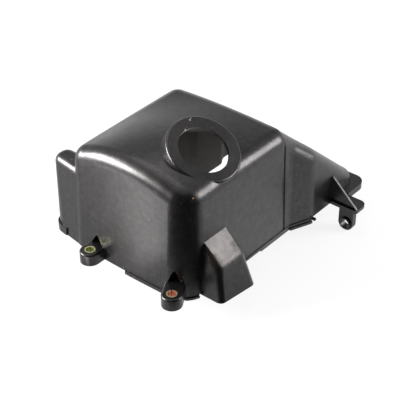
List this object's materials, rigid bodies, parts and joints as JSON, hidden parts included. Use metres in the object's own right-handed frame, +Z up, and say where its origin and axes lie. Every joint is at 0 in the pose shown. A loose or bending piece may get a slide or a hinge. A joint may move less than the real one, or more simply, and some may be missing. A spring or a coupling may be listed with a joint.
{
  "type": "cylinder shroud",
  "caption": "Thin-walled moulded cylinder shroud with a tilted filler collar, a side scoop, a ramped beak, sleeved mounting lugs and a drilled tab.",
  "frame": {"origin": "axis of the front lug's sleeve, in the plane of the lugs' feet and the walls' rim", "axes": "+Z up out of the rim plane, +X from the lugs to the beak's end, +Y from the front lug to the rear lug"},
  "size_m": [0.2346, 0.181, 0.1341],
  "materials": {
    "moulding": "satin",
    "sleeve_steel": "yellow zinc plated"
  },
  "bodies": {
    "root": {"shroud_moulding": "moulding", "front_lug_sleeve": "sleeve_steel", "rear_lug_sleeve": "sleeve_steel"}
  },
  "joints": []
}
